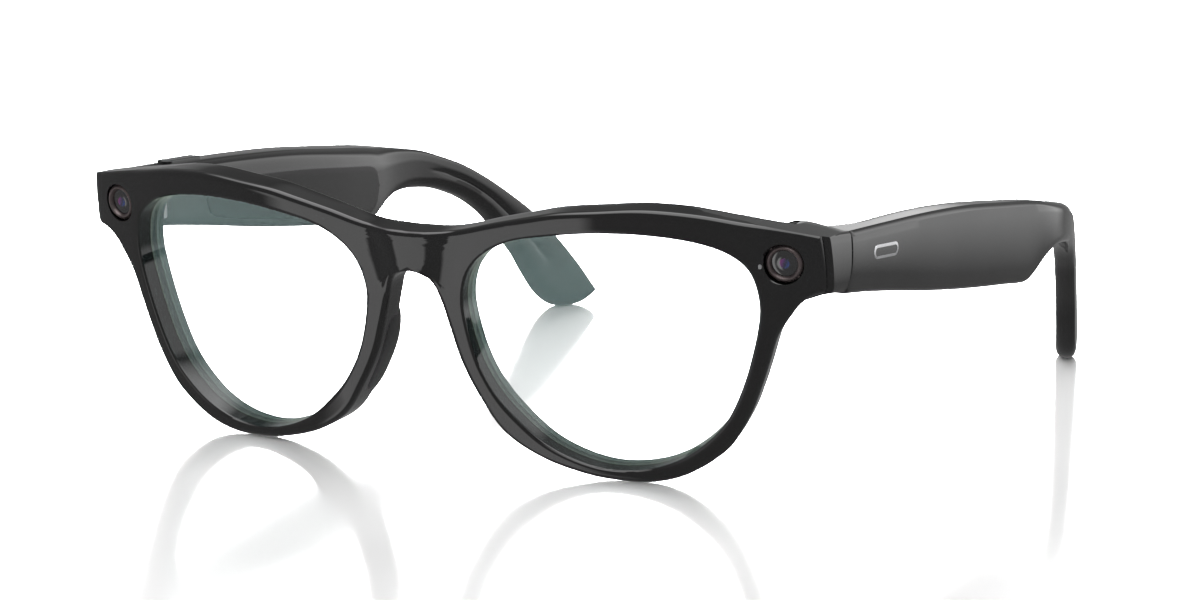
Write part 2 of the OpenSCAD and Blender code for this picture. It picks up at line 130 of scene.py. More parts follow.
def softened(p, reach, spacing, closed=False):
    """The polyline with its small unevenness and its corners rounded off."""
    half = int(3 * reach / spacing)
    x = np.arange(-half, half + 1) * spacing
    w = np.exp(-0.5 * (x / reach) ** 2)
    w /= w.sum()
    if closed:
        q = np.vstack([p[-half:], p, p[:half]])
    else:
        q = np.vstack([2 * p[0] - p[half:0:-1], p, 2 * p[-1] - p[-2:-half - 2:-1]])
    return np.column_stack([np.convolve(q[:, i], w, mode="valid") for i in range(p.shape[1])])


def left_normals(p, closed=False):
    if closed:
        d = np.roll(p, -1, axis=0) - np.roll(p, 1, axis=0)
    else:
        d = np.gradient(p, axis=0)
    d /= np.linalg.norm(d, axis=1)[:, None]
    return np.column_stack([-d[:, 1], d[:, 0]])


def smoothstep(x):
    x = np.clip(x, 0, 1)
    return x * x * (3 - 2 * x)


# ------------------------------------------------------------------ placing
def on_front(u, v, t):
    """From the front's own measures to the shared frame, in millimetres."""
    x = (FACE_R - t) * np.sin(u / FACE_R)
    y = FACE_R - (FACE_R - t) * np.cos(u / FACE_R)
    return np.stack([x, y * math.cos(TILT) - v * math.sin(TILT),
                     y * math.sin(TILT) + v * math.cos(TILT) - FOOT_DROP], axis=-1)


def to_metres(p):
    return (np.asarray(p) - np.array([0, MID_DEPTH, 0])) * MM


def seam_y(z):
    s = through(SEAM)
    return np.interp(z, s[:, 1], s[:, 0])


# ------------------------------------------------------------------ modelling
def settle(obj, name):
    obj.name = name
    obj.data.name = name
    return obj


def alone(obj):
    bpy.ops.object.select_all(action="DESELECT")
    obj.select_set(True)
    bpy.context.view_layer.objects.active = obj


def in_edit(obj, *steps):
    """Runs mesh operators on everything in obj."""
    alone(obj)
    bpy.ops.object.mode_set(mode="EDIT")
    bpy.ops.mesh.select_all(action="SELECT")
    for step in steps:
        step()
    bpy.ops.object.mode_set(mode="OBJECT")


def merge(limit=1e-6):
    return lambda: bpy.ops.mesh.remove_doubles(threshold=limit)


def outward():
    bpy.ops.mesh.normals_make_consistent(inside=False)


def coords(obj):
    co = np.empty(len(obj.data.vertices) * 3)
    obj.data.vertices.foreach_get("co", co)
    return co.reshape(-1, 3)


def set_coords(obj, co):
    obj.data.vertices.foreach_set("co", np.asarray(co, float).ravel())
    obj.data.update()


def wrapped(name, places, closed_rows=False, closed_columns=False):
    """A grid laid over an array of places (rows, columns, 3), joined where it closes."""
    places = np.asarray(places, float)
    if closed_rows:
        places = np.concatenate([places, places[:1]], axis=0)
    if closed_columns:
        places = np.concatenate([places, places[:, :1]], axis=1)
    rows, columns = places.shape[:2]
    bpy.ops.object.select_all(action="DESELECT")
    bpy.ops.mesh.primitive_grid_add(x_subdivisions=columns - 1, y_subdivisions=rows - 1, size=2)
    obj = settle(bpy.context.object, name)
    flat = coords(obj)
    column = np.rint((flat[:, 0] + 1) / 2 * (columns - 1)).astype(int)
    row = np.rint((flat[:, 1] + 1) / 2 * (rows - 1)).astype(int)
    set_coords(obj, places[row, column])
    return obj


def capped(obj):
    """Closes the open ends of a tube."""
    alone(obj)
    bpy.ops.object.mode_set(mode="EDIT")
    bpy.ops.mesh.select_mode(type="EDGE")
    bpy.ops.mesh.select_all(action="DESELECT")
    bpy.ops.mesh.select_non_manifold(extend=False)
    bpy.ops.mesh.fill_holes(sides=0)
    bpy.ops.mesh.select_mode(type="VERT")
    bpy.ops.object.mode_set(mode="OBJECT")


def modified(obj, kind, **settings):
    alone(obj)
    m = obj.modifiers.new(kind.lower(), kind)
    for key, value in settings.items():
        setattr(m, key, value)
    bpy.ops.object.modifier_apply(modifier=m.name)
    return obj


def smooth(obj, angle=35, weighted=True):
    alone(obj)
    bpy.ops.object.shade_smooth_by_angle(angle=math.radians(angle))
    if weighted:
        modified(obj, "WEIGHTED_NORMAL", keep_sharp=True, weight=60)
    return obj


def finished(obj, body, slot, material, *nodes):
    """Hands a piece over to its body and the CAD nodes it stands for, with its material; the slot is not used."""
    obj.data.materials.clear()
    obj.data.materials.append(material)
    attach(obj, body)
    if nodes:
        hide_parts(*nodes)
    return obj


def mirrored_copy(obj, name):
    """The same piece on the wearer's other side."""
    alone(obj)
    bpy.ops.object.duplicate()
    copy = settle(bpy.context.object, name)
    set_coords(copy, coords(copy) * np.array([-1, 1, 1]))
    in_edit(copy, lambda: bpy.ops.mesh.flip_normals())
    return copy


# ------------------------------------------------------------------ shader maths
class Socket:
    """A node's output that adds Math nodes when it is used in an expression."""

    def __init__(self, tree, out):
        self.tree, self.out = tree, out

    def maths(self, operation, *values):
        return self.tree.node("ShaderNodeMath", {"operation": operation}, list(values))

    def __add__(self, other):
        return self.maths("ADD", self, other)

    def __sub__(self, other):
        return self.maths("SUBTRACT", self, other)

    def __mul__(self, other):
        return self.maths("MULTIPLY", self, other)

    def __truediv__(self, other):
        return self.maths("DIVIDE", self, other)

    def __rsub__(self, other):
        return self.maths("SUBTRACT", other, self)

    __radd__, __rmul__ = __add__, __mul__

    def over(self, edge):
        return self.maths("GREATER_THAN", self, edge)

    def kept(self, low, high):
        return self.maths("MINIMUM", self.maths("MAXIMUM", self, low), high)


class Tree:
    """A node tree and the one way in which its nodes are added."""

    def __init__(self, owner):
        owner.use_nodes = True
        self.nodes, self.links = owner.node_tree.nodes, owner.node_tree.links

    def node(self, kind, settings=None, values=None, out=0):
        n = self.nodes.new(kind)
        for key, value in (settings or {}).items():
            if key == "stops":
                ramp = n.color_ramp
                while len(ramp.elements) < len(value):
                    ramp.elements.new(0.5)
                for e, (at, colour) in zip(ramp.elements, value):
                    e.position, e.color = at, colour
            else:
                setattr(n, key, value)
        pairs = values.items() if isinstance(values, dict) else enumerate(values or [])
        for key, value in pairs:
            self.put(n.inputs[key], value)
        return Socket(self, n.outputs[out])

    def put(self, socket, value):
        if isinstance(value, Socket):
            self.links.new(value.out, socket)
        else:
            socket.default_value = value


class Finish(Tree):
    """A material, its constants, and what varies over it."""

    def __init__(self, name, **constants):
        self.material = bpy.data.materials.new(name)
        super().__init__(self.material)
        self.shader = self.nodes["Principled BSDF"]
        for key, value in constants.items():
            self.shader.inputs[key.replace("_", " ")].default_value = value

    def feed(self, **inputs):
        for key, value in inputs.items():
            self.put(self.shader.inputs[key.replace("_", " ")], value)
        return self

    def place(self, centre=(0, 0, 0), turn=(0, 0, 0), scale=(1, 1, 1)):
        at = self.node("ShaderNodeTexCoord", out="Object")
        return self.node("ShaderNodeMapping", {"vector_type": "TEXTURE"},
                         {"Vector": at, "Location": centre, "Rotation": turn, "Scale": scale})

    def noise(self, scale, detail=3.0, at=None, rough=0.5):
        return self.node("ShaderNodeTexNoise", {}, {"Vector": at or self.place(), "Scale": scale,
                                                    "Detail": detail, "Roughness": rough})

    def mix(self, factor, a, b):
        return self.node("ShaderNodeMix", {"data_type": "RGBA"}, {0: factor, 6: a, 7: b}, out=2)

    def bump(self, height, strength, distance):
        return self.node("ShaderNodeBump", {}, {"Height": height, "Strength": strength, "Distance": distance})


# ------------------------------------------------------------------ finishes
def gloss_black(name, roughness=0.045, shade=0.0045, centre=(0, 0, 0)):
    """Moulded black plastic with a clear lacquer: deep, with faint flow waves and fine wear."""
    f = Finish(name, Specular_IOR_Level=0.5, IOR=1.5, Coat_Roughness=0.02)
    cloud = f.noise(90.0, 4.0)
    fine = f.noise(1400.0, 2.0)
    scuffs = f.noise(420.0, 5.0, f.place(centre, (0.3, 0.5, 0.2), (1.0, 0.08, 0.5)), 0.65)
    worn = (scuffs - 0.62).kept(0.0, 0.2) * 0.35
    darker = (shade * 0.8, shade * 0.8, shade * 0.85, 1)
    lighter = (shade * 1.3, shade * 1.3, shade * 1.35, 1)
    f.feed(Base_Color=f.mix(cloud, darker, lighter),
           Roughness=roughness + cloud * 0.02 + worn,
           Coat_Weight=0.35 + cloud * 0.2,
           Normal=f.bump(cloud * 0.7 + fine * 0.02, 0.012, 0.0003))
    return f.material


def satin_black(name, roughness=0.36, shade=0.012, grain=2600.0, depth=0.25):
    """The same plastic left matt, as on the pads and the insides of the temples."""
    f = Finish(name, Specular_IOR_Level=0.45)
    fine = f.noise(grain, 3.0)
    cloud = f.noise(160.0, 4.0)
    darker = (shade * 0.7, shade * 0.7, shade * 0.72, 1)
    lighter = (shade * 1.4, shade * 1.4, shade * 1.45, 1)
    f.feed(Base_Color=f.mix(cloud, darker, lighter),
           Roughness=roughness - 0.05 + cloud * 0.12, Normal=f.bump(fine, depth, 0.00005))
    return f.material


def brushed(name, colour, roughness, stretch, grain=900.0, metallic=1.0):
    """Metal with a fine drawn grain along one direction."""
    f = Finish(name, Metallic=metallic)
    lines = f.noise(grain, 4.0, f.place(scale=stretch), 0.6)
    cloud = f.noise(300.0, 3.0)
    dark = tuple(c * 0.7 for c in colour) + (1,)
    f.feed(Base_Color=f.mix(cloud, dark, tuple(colour) + (1,)), Roughness=roughness - 0.08 + lines * 0.2,
           Normal=f.bump(lines, 0.12, 0.00004))
    return f.material


def film(name, colour, roughness, weave):
    """Thin film or board with fine tracks across it."""
    f = Finish(name, Specular_IOR_Level=0.5)
    at = f.place()
    bands = {"wave_type": "BANDS", "bands_direction": "Y", "wave_profile": "SAW"}
    across = f.node("ShaderNodeTexWave", bands,
                    {"Vector": at, "Scale": weave, "Distortion": 0.6, "Detail": 2.0})
    blot = f.noise(700.0, 3.0)
    tracks = across.over(0.6) * 0.5 + blot * 0.3
    f.feed(Base_Color=f.mix(tracks, tuple(c * 0.45 for c in colour) + (1,), tuple(colour) + (1,)),
           Roughness=roughness + blot * 0.15, Normal=f.bump(tracks, 0.3, 0.00003))
    return f.material


def clear_lens():
    """Clear lens with a thin coating: mostly see-through, with a cool veil that gathers towards the rim, and a faint
    painted glow from its emission.
    """
    f = Finish("lens_clear", Roughness=0.02, Specular_IOR_Level=0.5, IOR=1.5)
    veil_and_glow = f.noise(22.0, 2.0, f.place(scale=(1.0, 1.0, 3.0)))
    rim = f.node("ShaderNodeAttribute", {"attribute_name": "edge"}, out=2)
    body = f.mix(rim, (0.60, 0.90, 0.88, 1), (0.42, 0.50, 0.20, 1))
    # The veil sets the lens's see-through tint; the emission paints a faint cool glow over the lens, painted light,
    # as the lens is no lamp.
    f.feed(Base_Color=body, Alpha=0.06 + veil_and_glow * 0.04 + rim * 0.25,
           Emission_Color=f.mix(veil_and_glow, (0.70, 0.96, 0.94, 1), (0.80, 1.0, 1.0, 1)))
    f.shader.inputs["Emission Strength"].default_value = 0.12
    return f.material


def cover_glass():
    """Dark glass over a camera, with the lens's coating colours below it: magenta to the left and blue to the right,
    partly the coating's own tint and partly a painted reflection.
    """
    f = Finish("camera_glass", Roughness=0.03, Specular_IOR_Level=0.9, IOR=1.6)
    across = f.node("ShaderNodeAttribute", {"attribute_name": "across"}, out=2)
    # Painted reflection: the coating colours run from magenta on the left to blue on the right across the pupil, as
    # the coated lens reflects, fixed in the base colour.
    painted_coating_reflections = [(0.0, (0.16, 0.012, 0.10, 1)), (0.3, (0.09, 0.02, 0.12, 1)),
                (0.55, (0.01, 0.01, 0.04, 1)), (1.0, (0.02, 0.05, 0.20, 1))]
    tint = f.node("ShaderNodeValToRGB", {"stops": painted_coating_reflections}, [across])
    spot = f.node("ShaderNodeAttribute", {"attribute_name": "pupil"}, out=2)
    speck = f.noise(2400.0, 2.0)
    f.feed(Base_Color=f.mix(spot, (0.004, 0.004, 0.005, 1), tint), Roughness=0.02 + speck * 0.03,
           Coat_Weight=0.4 + speck * 0.2)
    return f.material


black_gloss = gloss_black("frame_black_gloss")
black_temple = gloss_black("temple_black_gloss", roughness=0.06)
black_satin = satin_black("pad_black_satin", roughness=0.30, shade=0.016)
black_inner = satin_black("inner_black_satin", roughness=0.34, shade=0.012, grain=1800.0, depth=0.1)
black_deep = satin_black("barrel_black_matt", roughness=0.5, shade=0.004, grain=3600.0, depth=0.4)
trim = brushed("camera_trim", (0.20, 0.165, 0.165), 0.34, (1, 1, 1), 2200.0, metallic=0.85)
badge = brushed("badge_silver", (0.80, 0.80, 0.82), 0.22, (1, 0.06, 1), 2400.0)
steel = brushed("hinge_steel", (0.56, 0.56, 0.58), 0.30, (1, 1, 0.08), 2600.0)
core_steel = brushed("core_steel", (0.50, 0.50, 0.52), 0.34, (1, 0.05, 1), 1800.0)
parts_steel = brushed("component_steel", (0.46, 0.47, 0.50), 0.38, (0.2, 1, 1), 2000.0)
gold = brushed("contact_gold", (0.83, 0.58, 0.22), 0.28, (1, 1, 0.3), 3000.0)
mesh_metal = brushed("grille_metal", (0.10, 0.10, 0.105), 0.42, (1, 1, 1), 2600.0, metallic=0.8)
foil = brushed("battery_foil", (0.60, 0.61, 0.62), 0.42, (1, 0.3, 1), 700.0)
board = film("circuit_board", (0.02, 0.14, 0.07), 0.42, 900.0)
amber = film("flex_film", (0.42, 0.20, 0.04), 0.34, 1400.0)
clear = clear_lens()
glass = cover_glass()
lamp = satin_black("light_guide", roughness=0.3, shade=0.24, grain=1500.0, depth=0.1)


# ------------------------------------------------------------------ front
ROW = 0.9  # spacing of the front's sections along its outline
outline = np.vstack([through(BROW), through(RIM)])
outline_s = run_length(outline)
opening = softened(respaced(through(OPENING, closed=True), 0.1)[:-1], 0.8, 0.1, closed=True)
opening_angle = np.unwrap(np.arctan2(opening[:, 1] - LENS_MIDDLE[1], opening[:, 0] - LENS_MIDDLE[0]))
if opening_angle[-1] > opening_angle[0]:
    opening, opening_angle = opening[::-1], opening_angle[::-1]


def opening_at(angle):
    """The opening's point and its direction out of the opening, at an angle about the lens's middle."""
    turn = 2 * math.pi
    first = opening_angle[0]
    a = first - np.mod(first - np.radians(angle), turn)
    full_angle = np.append(opening_angle, opening_angle[0] - turn)[::-1]
    full = np.vstack([opening, opening[:1]])[::-1]
    p = np.column_stack([np.interp(a, full_angle, full[:, i]) for i in (0, 1)])
    step = 0.004
    ahead = np.where(a + step > first, a + step - turn, a + step)
    q = np.column_stack([np.interp(ahead, full_angle, full[:, i]) for i in (0, 1)])
    d = q - p
    d /= np.linalg.norm(d, axis=1)[:, None]
    return p, np.column_stack([d[:, 1], -d[:, 0]])


def nearest_s(u, v):
    return outline_s[np.argmin(np.hypot(outline[:, 0] - u, outline[:, 1] - v))]


MIDDLE_ROWS = (1.2, 2.3, 3.5, 4.7, 5.8)  # heights above the bridge's underside on the middle line
whole = outline_s[-1] + 6.9
PAIRS = [(0.0, 150.0), (nearest_s(71.8, 41.9), 32.0), (nearest_s(72, 32.5), 18.0), (nearest_s(40, 0), -78.0),
         (nearest_s(11.3, 12.7), -155.0), (nearest_s(5.1, 28.3), -188.0),
         (outline_s[-1], -197.0), (whole, -210.0)]

# The places along the outline where a section is cut, closer together at the corner
corner_s, block_top_s, block_foot_s = nearest_s(71.8, 41.9), nearest_s(64.9, 43.1), nearest_s(69.3, 32)
cuts = [0.0, block_top_s] + [corner_s + d for d in (-2.4, -1.6, -1, -0.6, -0.3, 0, 0.3, 0.6, 1, 1.6)]
cuts += [block_foot_s, outline_s[-1]]
sections, kinds = [0.0], ["plain"]
for a, b in zip(cuts, cuts[1:]):
    n = max(1, int(round((b - a) / ROW)))
    for k in range(1, n + 1):
        s = a + (b - a) * k / n
        sections.append(s)
        kinds.append("block" if block_top_s < s < block_foot_s else "plain")
        if k == n and b in (block_top_s, block_foot_s):
            sections.append(s)
            kinds[-1:] = ["step", "block"] if b == block_top_s else ["block", "step"]
last = len(sections) - 1
sections = np.array(sections + [outline_s[-1] + d for d in MIDDLE_ROWS])
kinds += ["plain"] * len(MIDDLE_ROWS)

soft_outline = softened(respaced(outline, 0.1), 0.45, 0.1)
soft_s = run_length(soft_outline) * outline_s[-1] / run_length(soft_outline)[-1]
inward = -left_normals(soft_outline)
if inward[40, 1] > 0:
    inward = -inward
outer = np.column_stack([np.interp(sections, soft_s, soft_outline[:, i]) for i in (0, 1)])
inner_way = np.column_stack([np.interp(sections, soft_s, inward[:, i]) for i in (0, 1)])
inner_way /= np.linalg.norm(inner_way, axis=1)[:, None]
outer[0, 0] = outer[last, 0] = 0
inner_way[0], inner_way[last] = (0, -1), (0, 1)
outer[last + 1:] = [(0, outline[-1, 1] + d) for d in MIDDLE_ROWS]
inner_way[last + 1:] = 0
hole, hole_way = opening_at(np.interp(sections, [p[0] for p in PAIRS], [p[1] for p in PAIRS]))
if np.mean(np.sum((outer - hole) * hole_way, axis=1)) < 0:
    hole_way = -hole_way

FRONT_EDGE, REAR_EDGE, HOLE_EDGE, HOLE_REAR = 0.95, 0.8, 0.5, 0.6
BLOCK_X, BLOCK_FLOOR, BLOCK_EDGE, BLOCK_FACE = 62.4, 32.8, 0.14, 70.5
FLARE = np.array([(4.8, 70.9), (5.1, 71.25), (5.6, 71.44), (6.4, 71.5), (20, 71.5)])
WALL_SHARES = (0.4, 0.65, 0.82, 0.93)  # where the end piece's side has points, from the seam to the front


def flat_of(p):
    """From the shared frame's millimetres back to the front's own measures."""
    x, y, z = p[..., 0], p[..., 1], p[..., 2] + FOOT_DROP
    yl = y * math.cos(TILT) + z * math.sin(TILT)
    v = -y * math.sin(TILT) + z * math.cos(TILT)
    return np.stack([FACE_R * np.arctan2(x, FACE_R - yl), v, FACE_R - np.hypot(x, FACE_R - yl)], axis=-1)


def arc(n, radius):
    """A rounded edge from one face to the next: distances from the second face and from the first."""
    a = np.linspace(0, math.pi / 2, n + 1)
    return [(radius * (1 - math.sin(t)), radius * (1 - math.cos(t))) for t in a]


def flared(x, y):
    """The end piece's side spreads a little as it goes back to the seam."""
    share = smoothstep((x - BLOCK_X) / (BLOCK_FACE - BLOCK_X))
    return min(x + (np.interp(y, FLARE[:, 0], FLARE[:, 1]) - BLOCK_FACE) * share, HALF_WIDTH)


def block_side(o, n, rear_i):
    """The part of a section that runs over the end piece, from the rim's back round to its front wall."""
    fold_u = flat_of(np.array([BLOCK_X, 10.6, 37.0]))[0]
    rear_o = o + n * BLOCK_EDGE
    f = np.clip((fold_u - rear_i[0]) / max(rear_o[0] - rear_i[0], 1e-6), 0, 1)
    start = on_front(*(rear_i + (rear_o - rear_i) * f), RIM_DEPTH)
    start = np.array([BLOCK_X, start[1], max(start[2], BLOCK_FLOOR)])
    front_wall = on_front(*o, FRONT_EDGE)
    z_back = BLOCK_FLOOR + np.clip((o[1] - 32.4) / 9.6, 0, 1.12) * 9.5
    outside = np.array([flared(front_wall[0], 13.5), 0, z_back])
    inside = np.array([BLOCK_X, 0, min(start[2], z_back) if z_back > BLOCK_FLOOR else BLOCK_FLOOR])
    way = outside - inside
    length = max(np.linalg.norm(way), 1e-6)
    way /= length
    edge = min(BLOCK_EDGE, length * 0.4)
    p = [(on_front(*rear_i, RIM_DEPTH) + start) / 2, start]
    p += [inside + way * (length - edge) * f for f in (0.0, 0.5, 1.0)]
    p += [outside - way * edge * along for along, deep in arc(3, 1.0)[1:]]
    for q in p[2:]:
        q[1] = seam_y(q[2])
    for q, (along, deep) in zip(p[5:], arc(3, BLOCK_EDGE)[1:]):
        q[1] -= deep
    for f in WALL_SHARES:
        q = p[7] + (front_wall - p[7]) * f
        q[0] = flared(front_wall[0], q[1])
        p.append(q)
    return [flat_of(q) for q in p]


def to_rim_back(flat):
    """The same place brought forward to the rim's back, at its own height."""
    q = on_front(*flat)
    for _ in range(4):
        q[1] += RIM_DEPTH - flat_of(q)[2]
    return flat_of(q)


def section(k):
    """One section of the rim as (u, v, t), from the outer front edge round to where it began."""
    o, i, n, m = outer[k], hole[k], inner_way[k], hole_way[k]
    front_o, front_i = o + n * FRONT_EDGE, i + m * HOLE_EDGE
    rear_i, rear_o = i + m * HOLE_REAR, o + n * REAR_EDGE
    p = [(*(front_o + (front_i - front_o) * f), 0.0) for f in np.linspace(0, 1, 8)]
    p += [(*(i + m * along), deep) for along, deep in arc(3, HOLE_EDGE)[1:]]
    p.append((*i, RIM_DEPTH / 2))
    p += [(*(i + m * along), RIM_DEPTH - deep) for along, deep in reversed(arc(3, HOLE_REAR))]
    if kinds[k] == "plain":
        p += [(*(rear_i + (rear_o - rear_i) * f), RIM_DEPTH) for f in np.linspace(0, 1, 6)[1:]]
        p += [(*(o + n * along), RIM_DEPTH - deep) for along, deep in arc(3, REAR_EDGE)[1:]]
        wall = RIM_DEPTH - REAR_EDGE - FRONT_EDGE
        p += [(*o, FRONT_EDGE + wall * (1 - f)) for f in WALL_SHARES]
    else:
        side = block_side(o, n, rear_i)
        p += [to_rim_back(q) if kinds[k] == "step" and q[2] > RIM_DEPTH else q for q in side]
    p += [(*(o + n * along), deep) for along, deep in reversed(arc(4, FRONT_EDGE)[1:])]
    return p


# Creases of the bridge, each from its top to its foot, on the face
INNER_CREASE = ((3.7, 39.7), (1.65, 33.0))
OUTER_CREASE = ((8.0, 40.3), (5.5, 29.0))
FACET_DEPTH = 0.95
CROWN = 0.22  # how much the outer sides swell between their edges
CORNER_TOP, CORNER_SLOPE = (69.8, 42.62), math.radians(8.8)  # plane that cuts the top of each end piece


def crease_u(crease, v):
    (u1, v1), (u0, v0) = crease
    return u0 + (v - v0) * (u1 - u0) / (v1 - v0)


def facet_sink(u, v):
    """How far the bridge's facets lie behind its middle panel."""
    near, far = crease_u(INNER_CREASE, v), crease_u(OUTER_CREASE, v)
    ramp = np.clip((np.abs(u) - near) / (far - near), 0, 1)
    away = np.maximum(np.abs(u) - far, 0) + np.maximum(29 - v, 0) * 0.6
    return FACET_DEPTH * ramp * (1 - smoothstep(away / 26))


def pick_vertices(obj, rule):
    """Selects, in edit mode, the vertices whose places meet the rule."""
    bpy.ops.object.mode_set(mode="OBJECT")
    flags = np.asarray(rule(coords(obj)), bool)
    obj.data.vertices.foreach_set("select", flags)
    edges = np.empty(len(obj.data.edges) * 2, int)
    obj.data.edges.foreach_get("vertices", edges)
    obj.data.edges.foreach_set("select", flags[edges.reshape(-1, 2)].all(axis=1))
    obj.data.polygons.foreach_set("select", [bool(flags[list(f.vertices)].all()) for f in obj.data.polygons])
    bpy.ops.object.mode_set(mode="EDIT")


def build_front():
    rim = wrapped("frame_front", [section(k) for k in range(len(sections))],
                  closed_rows=True, closed_columns=True)
    alone(rim)
    bpy.ops.object.mode_set(mode="EDIT")
    bpy.ops.mesh.select_all(action="SELECT")
    bpy.ops.mesh.remove_doubles(threshold=1e-4)
    for crease in (INNER_CREASE, OUTER_CREASE):
        (u1, v1), (u0, v0) = crease
        bpy.ops.mesh.select_all(action="SELECT")
        bpy.ops.mesh.bisect(plane_co=(u0, v0, 0), plane_no=(v1 - v0, u0 - u1, 0), threshold=1e-4)
        pick_vertices(rim, lambda p: np.abs(p[:, 0] - crease_u(crease, p[:, 1])) < 1e-3)
        bpy.ops.mesh.mark_sharp()
    pick_vertices(rim, lambda p: np.abs(p[:, 0]) < 1e-5)
    bpy.ops.mesh.select_mode(type="FACE")
    bpy.ops.mesh.delete(type="ONLY_FACE")
    bpy.ops.mesh.select_mode(type="VERT")
    bpy.ops.object.mode_set(mode="OBJECT")
    modified(rim, "MIRROR", use_axis=(True, False, False), use_mirror_merge=True, merge_threshold=1e-3)
    in_edit(rim, lambda: bpy.ops.mesh.delete_loose(), outward)
    p = coords(rim)
    p[:, 2] += facet_sink(p[:, 0], p[:, 1]) * (1 - np.clip(p[:, 2] / RIM_DEPTH, 0, 1))
    p = on_front(p[:, 0], p[:, 1], p[:, 2])
    reach = np.abs(p[:, 0])
    crowned = smoothstep((reach - 67.5) / 2.5) * smoothstep((p[:, 1] - 3) / 3)
    p[:, 0] -= np.sign(p[:, 0]) * CROWN * crowned * np.clip((p[:, 2] - 37.6) / 4.8, -1.2, 1.2) ** 2
    p[:, 0] = np.clip(p[:, 0], -HALF_WIDTH, HALF_WIDTH)
    p[:, 2] = np.maximum(p[:, 2], 0)
    set_coords(rim, to_metres(p))
    for side in SIDES.values():
        alone(rim)
        bpy.ops.object.mode_set(mode="EDIT")
        bpy.ops.mesh.select_all(action="SELECT")
        bpy.ops.mesh.bisect(plane_co=(side * CORNER_TOP[0] * MM, 0, CORNER_TOP[1] * MM),
                            plane_no=(side * math.sin(CORNER_SLOPE), 0, math.cos(CORNER_SLOPE)),
                            clear_outer=True, use_fill=True, threshold=1e-8)
        bpy.ops.object.mode_set(mode="OBJECT")
    return rim


def on_crease(p, crease):
    """Which points of the finished front lie on a crease of the bridge, on either side."""
    flat = flat_of(p / MM + np.array([0, MID_DEPTH, 0]))
    return (np.abs(np.abs(flat[:, 0]) - crease_u(crease, flat[:, 1])) < 0.01) & (flat[:, 2] < RIM_DEPTH / 2)


def standing_on(point, axis, up):
    """A place and turn whose z axis points along axis, with y as near to up as it can be."""
    z = Vector(axis).normalized()
    x = Vector(up).cross(z).normalized()
    y = z.cross(x)
    return Matrix.Translation(Vector(point)) @ Matrix((x, y, z)).transposed().to_4x4()


def moved(obj, matrix):
    """Puts a piece's place into its mesh, with the object left at the origin."""
    alone(obj)
    obj.data.transform(matrix)
    obj.matrix_world = Matrix.Identity(4)
    return obj


def turned(name, profile, steps=72, matrix=None):
    """A closed ring or disc turned from a profile of (radius, height) about z."""
    rows = []
    for k in range(steps):
        a = 2 * math.pi * k / steps
        rows.append([(r * math.cos(a), r * math.sin(a), h) for r, h in profile])
    obj = wrapped(name, np.array(rows) * MM, closed_rows=True)
    in_edit(obj, merge(1e-7), outward)
    if matrix is not None:
        moved(obj, matrix)
    return obj


def bored(obj, cutter, operation="DIFFERENCE"):
    modified(obj, "BOOLEAN", object=cutter, operation=operation, solver="MANIFOLD")
    bpy.data.objects.remove(cutter)
    return obj


def camera_seat(side):
    """Where a camera sits on the face: it is toed back towards straight ahead."""
    place = on_front(CAMERA[0], CAMERA[1], 0.0)
    turn = CAMERA[0] / FACE_R - CAMERA_TOE
    axis = (side * math.sin(turn), -math.cos(turn) * math.cos(TILT), -math.cos(turn) * math.sin(TILT))
    return standing_on(to_metres(place * np.array([side, 1, 1])), axis, (0, 0, 1))


CAMERA = (65.2, 37.4)
CAMERA_TOE = math.radians(6)
BORE_R, BORE_DEPTH = 3.3, 1.5
NOTCH_REACH = 3.16  # how far the ring's two notches are from its middle
RING_PROFILE = [(2.13, -1.35), (2.13, -0.78), (2.18, -0.66), (2.36, -0.3), (2.46, -0.2), (2.56, -0.17), (2.66, -0.2),
                (2.74, -0.27), (3.04, -0.6), (3.11, -0.68), (3.14, -0.78), (3.14, -1.35), (2.13, -1.35)]
GLASS_PROFILE = [(0, -0.62), (0.35, -0.625), (0.7, -0.64), (0.95, -0.66), (1.04, -0.675), (1.1, -0.70), (1.2, -0.71),
                 (1.5, -0.72), (1.9, -0.75), (2.08, -0.78), (2.12, -0.82), (2.12, -1.1), (0, -1.1)]

front = build_front()
for side in SIDES.values():
    seat = camera_seat(side)
    bore_profile = [(0, 2.5), (BORE_R + 2.0, 2.5), (BORE_R, 0.02), (BORE_R, -BORE_DEPTH), (0, -BORE_DEPTH)]
    bore = turned("bore", bore_profile, 96, seat)
    bored(front, bore)
for crease in (INNER_CREASE, OUTER_CREASE):
    alone(front)
    bpy.ops.object.mode_set(mode="EDIT")
    pick_vertices(front, lambda p: on_crease(p, crease))
    bpy.ops.mesh.mark_sharp()
    bpy.ops.object.mode_set(mode="OBJECT")
smooth(front, 30)
finished(front, "front", "frame_black", black_gloss, "front_frame")

for name, side in SIDES.items():
    seat = camera_seat(side)
    ring = turned("camera_ring_" + name, RING_PROFILE, 96, None)
    for a in (135, -45):
        at = (math.cos(math.radians(a)) * NOTCH_REACH * MM, math.sin(math.radians(a)) * NOTCH_REACH * MM, 0)
        notch = turned("notch", [(0, 0.2), (0.34, 0.2), (0.34, -0.95), (0, -0.95)], 24, Matrix.Translation(at))
        bored(ring, notch)
    moved(ring, seat)
    smooth(ring, 32)
    finished(ring, "front", "trim_metal", trim, "camera_bezel_" + name)
    window = turned("camera_glass_" + name, GLASS_PROFILE, 64, None)
    p = coords(window) / MM
    r = np.hypot(p[:, 0], p[:, 1])
    for key, values in (("across", np.clip(0.5 + (p[:, 0] - 0.35 * p[:, 1]) / 2.1, 0, 1)),
                        ("pupil", 1 - smoothstep((r - 0.82) / 0.14))):
        layer = window.data.attributes.new(key, "FLOAT", "POINT")
        layer.data.foreach_set("value", values.astype(np.float32))
    moved(window, seat)
    smooth(window, 30, weighted=False)
    finished(window, "front", "camera_glass", glass, "camera_window_" + name)
    well = turned("camera_well_" + name, [(0, -1.28), (3.27, -1.28), (3.27, -1.44), (0, -1.44)], 64, seat)
    smooth(well, 30)
    finished(well, "front", "barrel_black", black_deep, "camera_barrel_" + name)


